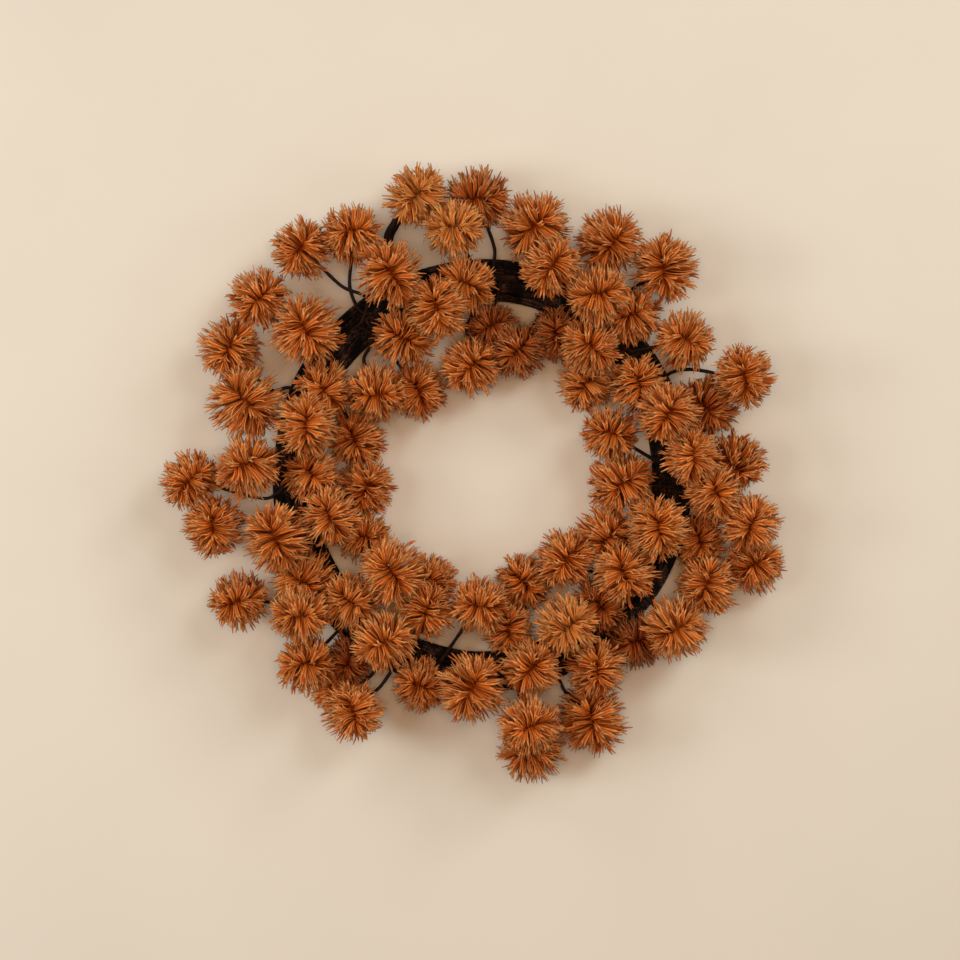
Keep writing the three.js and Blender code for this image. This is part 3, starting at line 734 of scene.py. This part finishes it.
def moulded_polyethylene(settings):
    """Moulded polyethylene, dyed through: soft satin, with painted shade, the deep colour, where the
    spines crowd at the root and down their channels.

    The thin edges of each channel and the tips are painted paler and yellower, a painted highlight.
    """
    material, tree, shader = new_material("moulded_polyethylene", 0.55)
    add = partial(add_node, tree)
    ramps = {}
    for name, (attribute, low, high, at_low, at_high) in SPINE_RAMPS.items():
        ramps[name] = add("ShaderNodeMapRange", {
            "Value": add("ShaderNodeAttribute", out="Fac", attribute_name=attribute),
            "From Min": low, "From Max": high, "To Min": at_low, "To Max": at_high},
            interpolation_type="SMOOTHSTEP")
    # Deep is painted shade in the grooves and at the roots; edge is a painted highlight on ridges and
    # tips.
    colours = {name: (*colour, 1) for name, colour in (
        ("deep", settings.deep), ("body", settings.body), ("edge", settings.edge),
        # The red colour, brought in for low tones, is partly painted shade on the low, half hidden
        # heads.
        ("warm", linear("e8a050")), ("red", linear("6e2c12")),
        ("worn", linear("8f8f8f")), ("plain", linear("ffffff")))}
    for name, under, over in SPINE_LAYERS:
        colours[name] = add(MIX, {
            "Factor": ramps[name], "A": colours[under], "B": colours[over]}, data_type="RGBA")
    place = add("ShaderNodeTexCoord", out="Object")
    mottle = add(NOISE, {"Vector": place, "Scale": 1 / MOTTLE_SIZE, "Detail": 3})
    clouded = add(MIX, {"Factor": mottle, "A": colours["worn"], "B": colours["plain"]},
                  data_type="RGBA")
    mottled = add(MIX, {"Factor": 0.35, "A": colours["reddened_and_shaded"], "B": clouded},
                  data_type="RGBA", blend_type="MULTIPLY")
    shaded = add(VECTORS, {"Vector": mottled, "Scale": ramps["level"]}, operation="SCALE")
    grain = add(NOISE, {"Vector": place, "Scale": 1 / GRAIN_SIZE, "Detail": 2})
    bump = add("ShaderNodeBump", {"Strength": 0.25, "Distance": 0.1 * MM, "Height": grain})
    for value, socket in ((shaded, "Base Color"), (ramps["shine"], "Specular IOR Level"),
                          (bump, "Normal")):
        tree.links.new(value, shader[socket])
    return material


def heads_source(name, heads):
    """A mesh with one point for each head of a bunch, with what the tree needs to know of it."""
    mesh = bpy.data.meshes.new(name)
    places = [in_frame(head.x, head.y, head.z) for head in heads]
    mesh.from_pydata(places, [], [])
    for label, kind in (("head_radius", "FLOAT"), ("tone", "FLOAT"), ("centre", "FLOAT_VECTOR"),
                        ("pole", "FLOAT_VECTOR"), ("slit", "FLOAT_VECTOR"), ("turn", "QUATERNION")):
        mesh.attributes.new(label, kind, "POINT")
    facts = mesh.attributes
    for k, head in enumerate(heads):
        lean_x, lean_y = head.lean
        up = Vector((lean_x, lean_y, math.sqrt(1 - lean_x ** 2 - lean_y ** 2)))
        angle = math.radians(head.slit)
        across = up.cross(Vector((math.cos(angle), math.sin(angle), 0))).normalized()
        slit = across.cross(up).normalized()
        facts["head_radius"].data[k].value = head.radius * MM
        facts["tone"].data[k].value = head.tone
        facts["centre"].data[k].vector = places[k]
        facts["pole"].data[k].vector = up
        facts["slit"].data[k].vector = slit
        facts["turn"].data[k].value = Matrix((slit, across, up)).transposed().to_quaternion()
    return mesh


class CANDLERING_OT_seed_heads(bpy.types.Operator):
    """Grow the spines of every seed head, one piece for each bunch"""

    bl_idname = "candle_ring.seed_heads"
    bl_label = "Seed Heads"

    def execute(self, context):
        settings = settings_of(context).heads
        tree = head_tree()
        kinds = spine_collection(settings)
        values = {
            "Spines": settings.spines,
            "Parting": settings.parting,
            "Shortest": 0.86,
            "Longest": 1.17,
            "Root": 0.06,
            "Root Rise": 0.7,
            "Root Spread": 0.36,
            "Bare Top": 0.09,
            "Jitter": 0.16,
            "Table Gap": 1.8 * MM,
            "Spine Kinds": kinds,
            "Kind Count": len(kinds.objects),
            "Material": moulded_polyethylene(settings),
        }
        for number, (_, *bunches) in enumerate(PICKS, 1):
            for letter, heads in zip("ab", bunches):
                node = f"heads_{number:02d}{letter}"
                values["Seed"] = settings.seed + 10 * number + (letter == "b")
                piece = grow(f"seed_{node}", tree, values, heads_source(node, heads),
                             ("along", "ridge", "shade", "tone"))
                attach(piece, "root")
                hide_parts(node)
        for spine in list(kinds.objects):
            bpy.data.objects.remove(spine)
        bpy.data.collections.remove(kinds)
        return {"FINISHED"}


# Stems and twigs


def strand_tree():
    """Makes each path of a mesh a round strand, as thick as its points say, with closed ends."""
    tree, given = new_tree("Strands", {
        "Sides": "Int", "Spacing": "Float", "Knobbliness": "Float", "Knob Length": "Float"})
    add = partial(add_node, tree)
    curve = add("GeometryNodeMeshToCurve", {"Mesh": given["Geometry"]})
    even = add("GeometryNodeResampleCurve", {"Curve": curve, "Length": given["Spacing"]},
               mode="LENGTH")
    knobs = add(NOISE, {
        "Vector": add("GeometryNodeInputPosition"),
        "Scale": add(MATHS, (1, given["Knob Length"]), operation="DIVIDE"),
        "Detail": 1})
    either_way = add(MATHS, (knobs, 0.5), operation="SUBTRACT")
    swell = add(MATHS, (either_way, given["Knobbliness"], 1), operation="MULTIPLY_ADD")
    radius = add(MATHS, (add(STORED, ("thickness",)), swell), operation="MULTIPLY")
    sized = add("GeometryNodeSetCurveRadius", {"Curve": even, "Radius": radius})
    marked = add(STORE, {
        "Geometry": sized, "Name": "travelled",
        "Value": add("GeometryNodeSplineParameter", out="Length")})
    ring = add("GeometryNodeCurvePrimitiveCircle", {"Resolution": given["Sides"], "Radius": 1},
               mode="RADIUS")
    section = add(STORE, {
        "Geometry": ring, "Name": "around",
        "Value": add("GeometryNodeSplineParameter", out="Factor")})
    skin = add("GeometryNodeCurveToMesh", {
        "Curve": marked, "Profile Curve": section, "Fill Caps": True,
        "Scale": add("GeometryNodeInputRadius")})
    end_tree(tree, add("GeometryNodeSetShadeSmooth", (skin,)), given)
    return tree


def strand_source(name, paths):
    """A mesh of paths. Each is its points, the thickness at each, and whether it is a loop."""
    places, edges, thicknesses = [], [], []
    for points, thickness, loop in paths:
        first = len(places)
        places.extend(points)
        thicknesses.extend(thickness)
        edges.extend((first + k, first + k + 1) for k in range(len(points) - 1))
        if loop:
            edges.append((len(places) - 1, first))
    mesh = bpy.data.meshes.new(name)
    mesh.from_pydata(places, edges, [])
    attribute = mesh.attributes.new("thickness", "FLOAT", "POINT")
    attribute.data.foreach_set("value", thicknesses)
    return mesh


def fibrous(name, colour, light, roughness, seam, fibre):
    """A dark fibrous skin with paler streaks, part wear and part painted highlight, and a seam that
    winds round the strand.
    """
    material, tree, shader = new_material(name, roughness)
    shader["Specular IOR Level"].default_value = 0.15
    add = partial(add_node, tree)
    along = add("ShaderNodeAttribute", out="Fac", attribute_name="travelled")
    around = add("ShaderNodeAttribute", out="Fac", attribute_name="around")
    turns = add(MATHS, (along, 1 / seam), operation="MULTIPLY")
    wound = add(MATHS, (turns, around), operation="ADD")
    step = add(MATHS, (wound,), operation="FRACT")
    place = add("ShaderNodeTexCoord", out="Object")
    streak = add(NOISE, {"Vector": place, "Scale": 1 / fibre, "Detail": 4, "Roughness": 0.65})
    patches = add(NOISE, {"Vector": place, "Scale": 1 / PATCH_SIZE, "Detail": 2})
    # Where streaks and patches meet the skin is paler: rubbed fibres, and on the twigs a painted
    # highlight too.
    worn = add(MATHS, (streak, patches), operation="MULTIPLY")
    rubbed_and_highlit = add("ShaderNodeMapRange", {"Value": worn, "From Min": 0.25, "From Max": 0.45})
    tinted = add(MIX, {"Factor": rubbed_and_highlit, "A": (*colour, 1), "B": (*linear(light), 1)},
                 data_type="RGBA")
    relief = add(MATHS, (streak, 0.6, step), operation="MULTIPLY_ADD")
    bump = add("ShaderNodeBump", {"Strength": 0.6, "Distance": 0.25 * MM, "Height": relief})
    tree.links.new(tinted, shader["Base Color"])
    tree.links.new(bump, shader["Normal"])
    return material


def onto_ring(place):
    """A place moved out or in, seen from the layout's middle, until it lies on the ring's line."""
    flat = Vector((place.x, place.y, 0))
    for _ in range(FOOT_SLIDES):
        x = (flat.x - RING_X) / RING_SHARE_X
        y = (flat.y - RING_Y) / RING_SHARE_Y
        flat *= 1 - (math.hypot(x, y) - RING_RADIUS) / flat.length
    return Vector((flat.x, flat.y, place.z))


def foot_starts(tie, heads):
    """Where a pick's foot lies, which way, and where on it each stem starts.

    The stems start side by side, in the order that their heads stand in.
    """
    angle = math.radians(tie)
    middle = onto_ring(Vector((math.cos(angle), math.sin(angle), 0)))
    along = Vector((RING_Y - middle.y, middle.x - RING_X, 0)).normalized()
    middle.z = FOOT_HEIGHT
    in_turn = sorted(heads, key=lambda head: head.x * along.x + head.y * along.y)
    starts = {}
    for k, head in enumerate(in_turn):
        starts[head] = middle + along * STEM_SPACING * (k - (len(in_turn) - 1) / 2)
    return middle, along, starts


def entry_of(head, start):
    """Direction from a head's middle towards its incoming stem."""
    source = Vector(head.via[-1]) if head.via else start
    entry = source - Vector((head.x, head.y, head.z))
    entry.z -= STEM_DROOP * max(0, head.z - DROOP_FROM)
    entry.normalize()
    lowest = (FOOT_HEIGHT - head.z) / (head.radius * SPINE_LONGEST)
    if entry.z < lowest:
        level = math.sqrt(1 - lowest ** 2) / math.hypot(entry.x, entry.y)
        entry = Vector((entry.x * level, entry.y * level, lowest))
    return entry


def smooth_through(points):
    """An easy curve through points."""
    path = []
    for k in range(len(points) - 1):
        before = points[max(k - 1, 0)]
        here, there = points[k], points[k + 1]
        after = points[min(k + 2, len(points) - 1)]
        first = here + (there - before) / 6
        second = there - (after - here) / 6
        path += interpolate_bezier(here, first, second, there, VIA_STEPS)[:-1]
    return path + [points[-1]]


def stem_path(head, start, along):
    """A stem's course in millimetres: along the ring, off across, and straight in to the core."""
    centre = Vector((head.x, head.y, head.z))
    entry = entry_of(head, start)
    edge = centre + entry * head.radius * SPINE_LONGEST
    end = centre + entry * STEM_END * head.radius
    side = math.copysign(1, (edge - start).dot(along))
    tied = [start - along * side * reach - Vector((0, 0, drop)) for reach, drop in TIED]
    if head.via:
        return tied + smooth_through([start, *map(Vector, head.via), edge]) + [end]
    span = (edge - start).length
    rise = start.lerp(edge, STEM_EASE)
    rise.z += min(STEM_LIFT, STEM_LIFT_SHARE * span)
    bend = edge + entry * STEM_EASE * span
    bend.z = max(bend.z, FOOT_HEIGHT)
    return tied + interpolate_bezier(start, rise, bend, edge, STEM_STEPS) + [end]


def foot_path(middle, along):
    """The taped foot: it lies on the ring, thickest in the middle, and follows the ring."""
    points, thickness = [], []
    for k in range(FOOT_STEPS + 1):
        t = 2 * k / FOOT_STEPS - 1
        place = onto_ring(middle + along * FOOT_HALF_LENGTH * t)
        place.z -= FOOT_SUNK
        points.append(in_frame(*place))
        thickness.append(FOOT_THICKNESS * MM * (1 - FOOT_TAPER * abs(t) ** 3))
    return points, thickness, False


def twist_of(points, radius):
    """Strands that lie round a path and wind slowly about it, as thick as radius in all."""
    strands = []
    for strand in range(TWIST_STRANDS):
        winding, travelled = [], 0
        for k, point in enumerate(points):
            ahead = points[min(k + 1, len(points) - 1)] - points[max(k - 1, 0)]
            travelled += (point - points[max(k - 1, 0)]).length
            aside = ahead.cross(Vector((0, 0, 1))).normalized()
            over = aside.cross(ahead).normalized()
            turn = 2 * math.pi * strand / TWIST_STRANDS + travelled / TWIST_PITCH
            winding.append(point + radius * TWIST_OUT * (
                aside * math.cos(turn) + over * math.sin(turn)))
        strands.append((winding, [TWIST_THICKNESS * radius] * len(points), False))
    return strands


class CANDLERING_OT_stems(bpy.types.Operator):
    """Make the taped stems of every pick, with the foot that ties them to the ring"""

    bl_idname = "candle_ring.stems"
    bl_label = "Stems"

    def execute(self, context):
        settings = settings_of(context).stems
        tree = strand_tree()
        # Crepe paper tape, wound round the wires: matt, with a seam in a steep spiral
        tape = fibrous("paper_florist_tape", settings.colour, "4a2e1e", 0.6, 5 * MM, 0.7 * MM)
        values = {
            "Sides": 8,
            "Spacing": 1.4 * MM,
            "Knobbliness": 0.35,
            "Knob Length": 4 * MM,
            "Material": tape,
        }
        for number, (tie, *bunches) in enumerate(PICKS, 1):
            heads = [head for bunch in bunches for head in bunch]
            middle, along, starts = foot_starts(tie, heads)
            paths = [foot_path(middle, along)]
            for head in heads:
                points = [in_frame(*place) for place in stem_path(head, starts[head], along)]
                if head.thick:
                    paths += twist_of(points, settings.twist_radius)
                else:
                    paths.append((points, [settings.radius] * len(points), False))
            name = f"stems_{number:02d}"
            piece = grow(f"taped_{name}", tree, values, strand_source(name, paths),
                         ("travelled", "around"))
            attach(piece, "root")
            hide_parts(name)
        return {"FINISHED"}


def twig_paths(settings):
    """Closed paths of the twigs. They lie round the ring's section and wander over each other."""
    chance = random.Random(settings.seed)
    paths = []
    for k in range(settings.strands):
        base = 2 * math.pi * k / settings.strands
        waves = [(chance.randint(1, 3), chance.uniform(0, LAST_PHASE), SLOW_WANDER),
                 (chance.randint(4, 9), chance.uniform(0, LAST_PHASE), QUICK_WANDER)]
        dip = (chance.randint(2, 5), chance.uniform(0, LAST_PHASE))
        radius = settings.strand_radius * chance.uniform(THINNEST, THICKEST)
        paths.append(twig_path(base, waves, dip, radius, 1))
    for k in range(CORE_TWIGS):
        base = 2 * math.pi * k / CORE_TWIGS
        waves = [(2, k, 0.2), (5, 2 * k, 0.1)]
        paths.append(twig_path(base, waves, (3, k), CORE_TWIG_RADIUS, CORE_TWIG_SHARE))
    return paths


def twig_path(base, waves, dip, radius, share):
    """One twig's closed path, at a share of the section's own size."""
    half_width = RING_HALF_WIDTH * MM - radius
    half_height = RING_HEIGHT * MM / 2 - radius
    points = []
    for n in range(TWIG_STEPS):
        angle = 2 * math.pi * n / TWIG_STEPS
        turn = base + sum(size * math.sin(count * angle + phase) for count, phase, size in waves)
        inset = share * (1 - TWIG_DIP * (1 + math.sin(dip[0] * angle + dip[1])))
        out = RING_RADIUS * MM + half_width * inset * math.cos(turn)
        up = RING_HEIGHT * MM / 2 + half_height * inset * math.sin(turn)
        points.append(LAYOUT_MIDDLE + Vector((
            RING_X * MM + RING_SHARE_X * out * math.cos(angle),
            RING_Y * MM + RING_SHARE_Y * out * math.sin(angle),
            max(up, radius * TWIG_CLEARANCE))))
    return points, [radius] * TWIG_STEPS, True


class CANDLERING_OT_twig_ring(bpy.types.Operator):
    """Make the flat ring of bundled twigs"""

    bl_idname = "candle_ring.twig_ring"
    bl_label = "Twig Ring"

    def execute(self, context):
        settings = settings_of(context).ring
        # Bark of vine twigs, stained almost black: dull, with paler fibres where it is rubbed. The
        # pale streaks also stand for painted highlights along the twigs.
        bark = fibrous("vine_bark", settings.colour, "6a4a3a", 0.8, 60 * MM, 0.9 * MM)
        values = {
            "Sides": 6,
            "Spacing": 4 * MM,
            "Knobbliness": 0.25,
            "Knob Length": 8 * MM,
            "Material": bark,
        }
        piece = grow("twig_ring", strand_tree(), values,
                     strand_source("twigs", twig_paths(settings)), ("travelled", "around"))
        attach(piece, "root")
        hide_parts("ring_bundle")
        return {"FINISHED"}


# Stage


def woven_cotton(colour):
    """Bleached cotton cloth: matt and pale, with slow soft clouds of tone and no visible pattern."""
    material, tree, shader = new_material("woven_cotton", 0.95)
    add = partial(add_node, tree)
    place = add("ShaderNodeTexCoord", out="Object")
    darker = [share * 0.93 for share in colour]
    tinted = add(MIX, {
        "Factor": add(NOISE, {"Vector": place, "Scale": CLOUDS_PER_METRE, "Detail": 3}),
        "A": (*darker, 1), "B": (*colour, 1)}, data_type="RGBA")
    tree.links.new(tinted, shader["Base Color"])
    return material


def soft_light(name, place, power, colour):
    """A square soft light that looks at the middle of the floor."""
    lamp = bpy.data.lights.new(name, "AREA")
    lamp.shape = "SQUARE"
    lamp.size = LAMP_SIZE
    lamp.energy = power
    lamp.color = colour
    light = bpy.data.objects.new(name, lamp)
    light.location = place
    light.rotation_euler = place.to_track_quat("Z", "Y").to_euler()
    bpy.context.scene.collection.objects.link(light)


class CANDLERING_OT_stage(bpy.types.Operator):
    """Lay the floor, set the lights and place the camera straight above"""

    bl_idname = "candle_ring.stage"
    bl_label = "Stage"

    def execute(self, context):
        settings = settings_of(context).stage
        scene = context.scene
        mesh = bmesh.new()
        bmesh.ops.create_grid(mesh, x_segments=4, y_segments=4, size=FLOOR_HALF_SIZE)
        data = bpy.data.meshes.new("floor")
        mesh.to_mesh(data)
        mesh.free()
        floor = bpy.data.objects.new("floor", data)
        data.materials.append(woven_cotton(settings.floor))
        scene.collection.objects.link(floor)
        scene.world = bpy.data.worlds.new("dark_room")
        for name, azimuth, height, power, colour in LAMPS:
            around, up = math.radians(azimuth), math.radians(height)
            place = LAMP_DISTANCE * Vector((
                math.cos(up) * math.cos(around), math.cos(up) * math.sin(around), math.sin(up)))
            soft_light(name, place, power, colour)
        lens = bpy.data.cameras.new("camera")
        camera = bpy.data.objects.new("camera", lens)
        distance = settings.camera_height - HEAD_LEVEL
        lens.angle = 2 * math.atan(settings.view_width / 2 / distance)
        lens.clip_start = 0.05
        camera.location = (
            LAYOUT_MIDDLE.x + VIEW_RIGHT * PIXEL, LAYOUT_MIDDLE.y - VIEW_BELOW * PIXEL,
            settings.camera_height)
        scene.collection.objects.link(camera)
        scene.camera = camera
        scene.view_settings.view_transform = "Standard"
        return {"FINISHED"}


class CANDLERING_PT_panel(bpy.types.Panel):
    """Sidebar panel with every operator and its settings"""

    bl_idname = "CANDLERING_PT_panel"
    bl_label = "Candle Ring"
    bl_space_type = "VIEW_3D"
    bl_region_type = "UI"
    bl_category = "Candle Ring"

    def draw(self, context):
        settings = settings_of(context)
        for group, operator in (
            (settings.ring, CANDLERING_OT_twig_ring),
            (settings.stems, CANDLERING_OT_stems),
            (settings.heads, CANDLERING_OT_seed_heads),
            (settings.stage, CANDLERING_OT_stage),
        ):
            box = self.layout.box()
            for name in group.__annotations__:
                box.prop(group, name)
            box.operator(operator.bl_idname)


CLASSES = (
    SeedHeadSettings,
    StemSettings,
    RingSettings,
    StageSettings,
    CandleRingSettings,
    CANDLERING_OT_twig_ring,
    CANDLERING_OT_stems,
    CANDLERING_OT_seed_heads,
    CANDLERING_OT_stage,
    CANDLERING_PT_panel,
)


def register():
    for cls in CLASSES:
        bpy.utils.register_class(cls)
    bpy.types.Scene.candle_ring = PointerProperty(type=CandleRingSettings)


def unregister():
    del bpy.types.Scene.candle_ring
    for cls in reversed(CLASSES):
        bpy.utils.unregister_class(cls)


def main():
    register()
    bpy.ops.candle_ring.stage()
    bpy.ops.candle_ring.twig_ring()
    bpy.ops.candle_ring.stems()
    bpy.ops.candle_ring.seed_heads()


if __name__ == "__main__":
    main()
